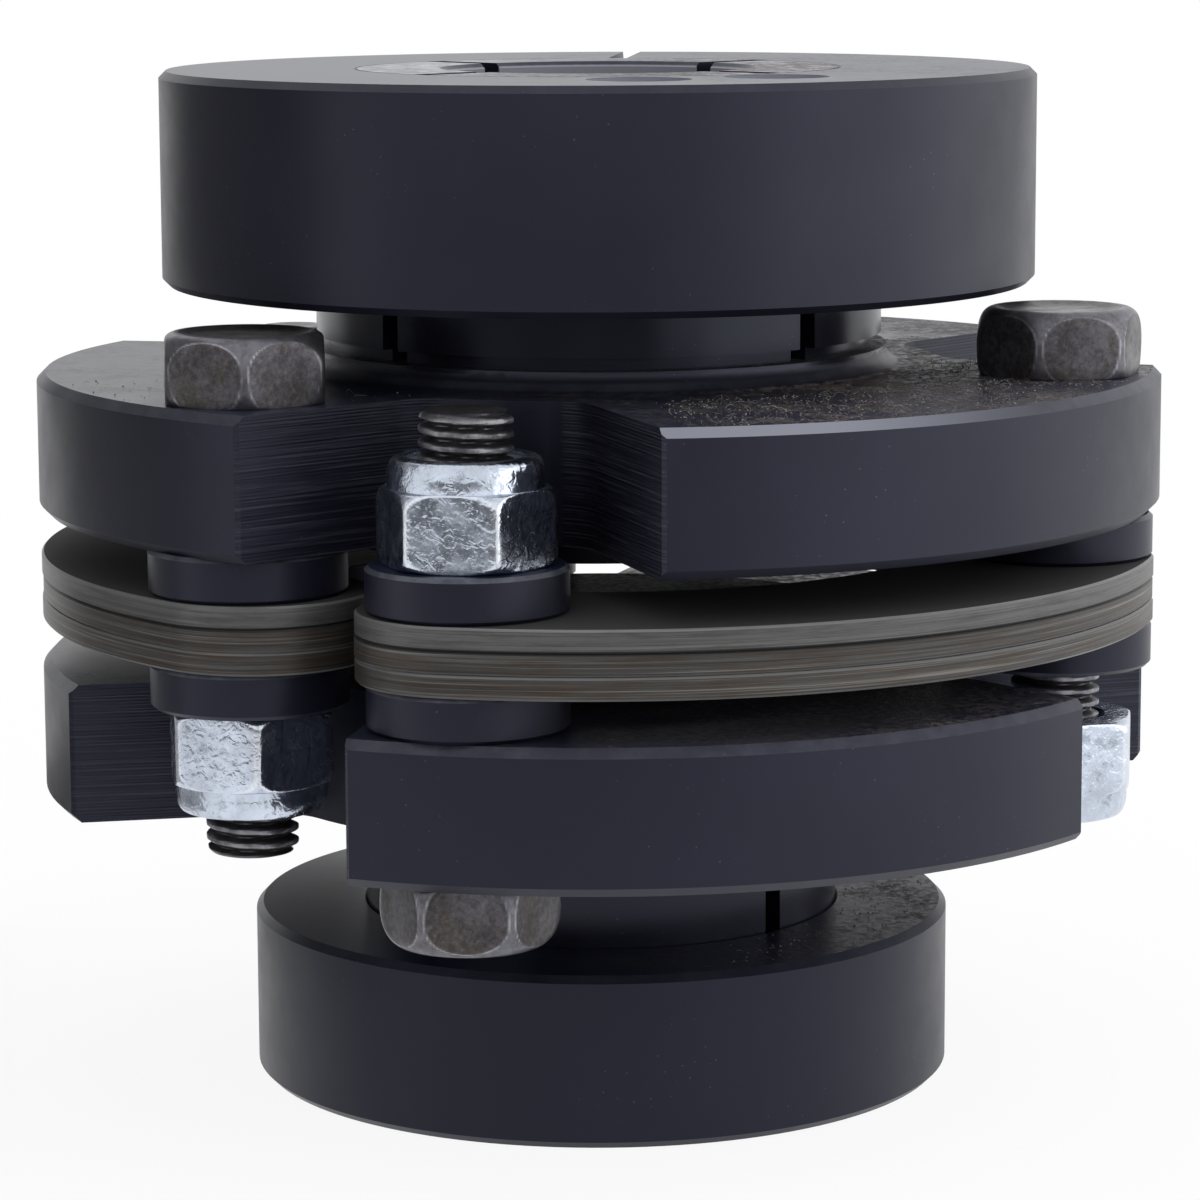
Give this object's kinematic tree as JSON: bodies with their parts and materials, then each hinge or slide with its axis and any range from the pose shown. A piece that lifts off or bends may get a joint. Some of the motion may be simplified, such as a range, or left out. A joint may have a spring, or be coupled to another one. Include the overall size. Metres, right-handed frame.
{
  "type": "disc coupling",
  "caption": "Torsionally stiff disc coupling: notched flange hubs joined by laminated steel links, hexagon bolts and self-locking nuts, with split clamping collars on slotted sleeves.",
  "frame": {"origin": "on the shaft axis, in the plane of the lower hub's end face, which the coupling stands on", "axes": "+Z along the shaft axis, from the hub with the small clamp collar to the hub with the large one; the lower hub's first bolt lies 15 degrees from +X towards +Y"},
  "size_m": [0.1286, 0.129, 0.116],
  "materials": {
    "blackened_steel": "turned and milled steel, blackened, satin",
    "collar_steel": "turned steel, blackened, satin",
    "screw_steel": "blackened high-strength steel",
    "leaf_steel": "rolled spring steel, tarnished grey and brown",
    "spacer_steel": "turned steel, blackened",
    "bolt_steel": "dark high-strength steel with worn edges",
    "zinc_plate": "bright zinc plate, pitted",
    "nylon": "moulded nylon"
  },
  "bodies": {
    "root": {"link_a_leaf_1": "leaf_steel", "link_a_leaf_2": "leaf_steel", "link_a_leaf_3": "leaf_steel", "link_b_leaf_1": "leaf_steel", "link_b_leaf_2": "leaf_steel", "link_b_leaf_3": "leaf_steel", "link_c_leaf_1": "leaf_steel", "link_c_leaf_2": "leaf_steel", "link_c_leaf_3": "leaf_steel", "lower_bolt_a": "bolt_steel", "lower_bolt_a_bottom_spacer": "spacer_steel", "lower_bolt_a_top_spacer": "spacer_steel", "lower_bolt_b": "bolt_steel", "lower_bolt_b_bottom_spacer": "spacer_steel", "lower_bolt_b_top_spacer": "spacer_steel", "lower_bolt_c": "bolt_steel", "lower_bolt_c_bottom_spacer": "spacer_steel", "lower_bolt_c_top_spacer": "spacer_steel", "lower_clamp_collar": "collar_steel", "lower_clamp_screw": "screw_steel", "lower_hub": "blackened_steel", "lower_nut_a": "zinc_plate", "lower_nut_b": "zinc_plate", "lower_nut_c": "zinc_plate", "lower_nut_insert_a": "nylon", "lower_nut_insert_b": "nylon", "lower_nut_insert_c": "nylon", "upper_bolt_a": "bolt_steel", "upper_bolt_a_bottom_spacer": "spacer_steel", "upper_bolt_a_top_spacer": "spacer_steel", "upper_bolt_b": "bolt_steel", "upper_bolt_b_bottom_spacer": "spacer_steel", "upper_bolt_b_top_spacer": "spacer_steel", "upper_bolt_c": "bolt_steel", "upper_bolt_c_bottom_spacer": "spacer_steel", "upper_bolt_c_top_spacer": "spacer_steel", "upper_clamp_collar": "collar_steel", "upper_clamp_screw": "screw_steel", "upper_hub": "blackened_steel", "upper_nut_a": "zinc_plate", "upper_nut_b": "zinc_plate", "upper_nut_c": "zinc_plate", "upper_nut_insert_a": "nylon", "upper_nut_insert_b": "nylon", "upper_nut_insert_c": "nylon"}
  },
  "joints": []
}
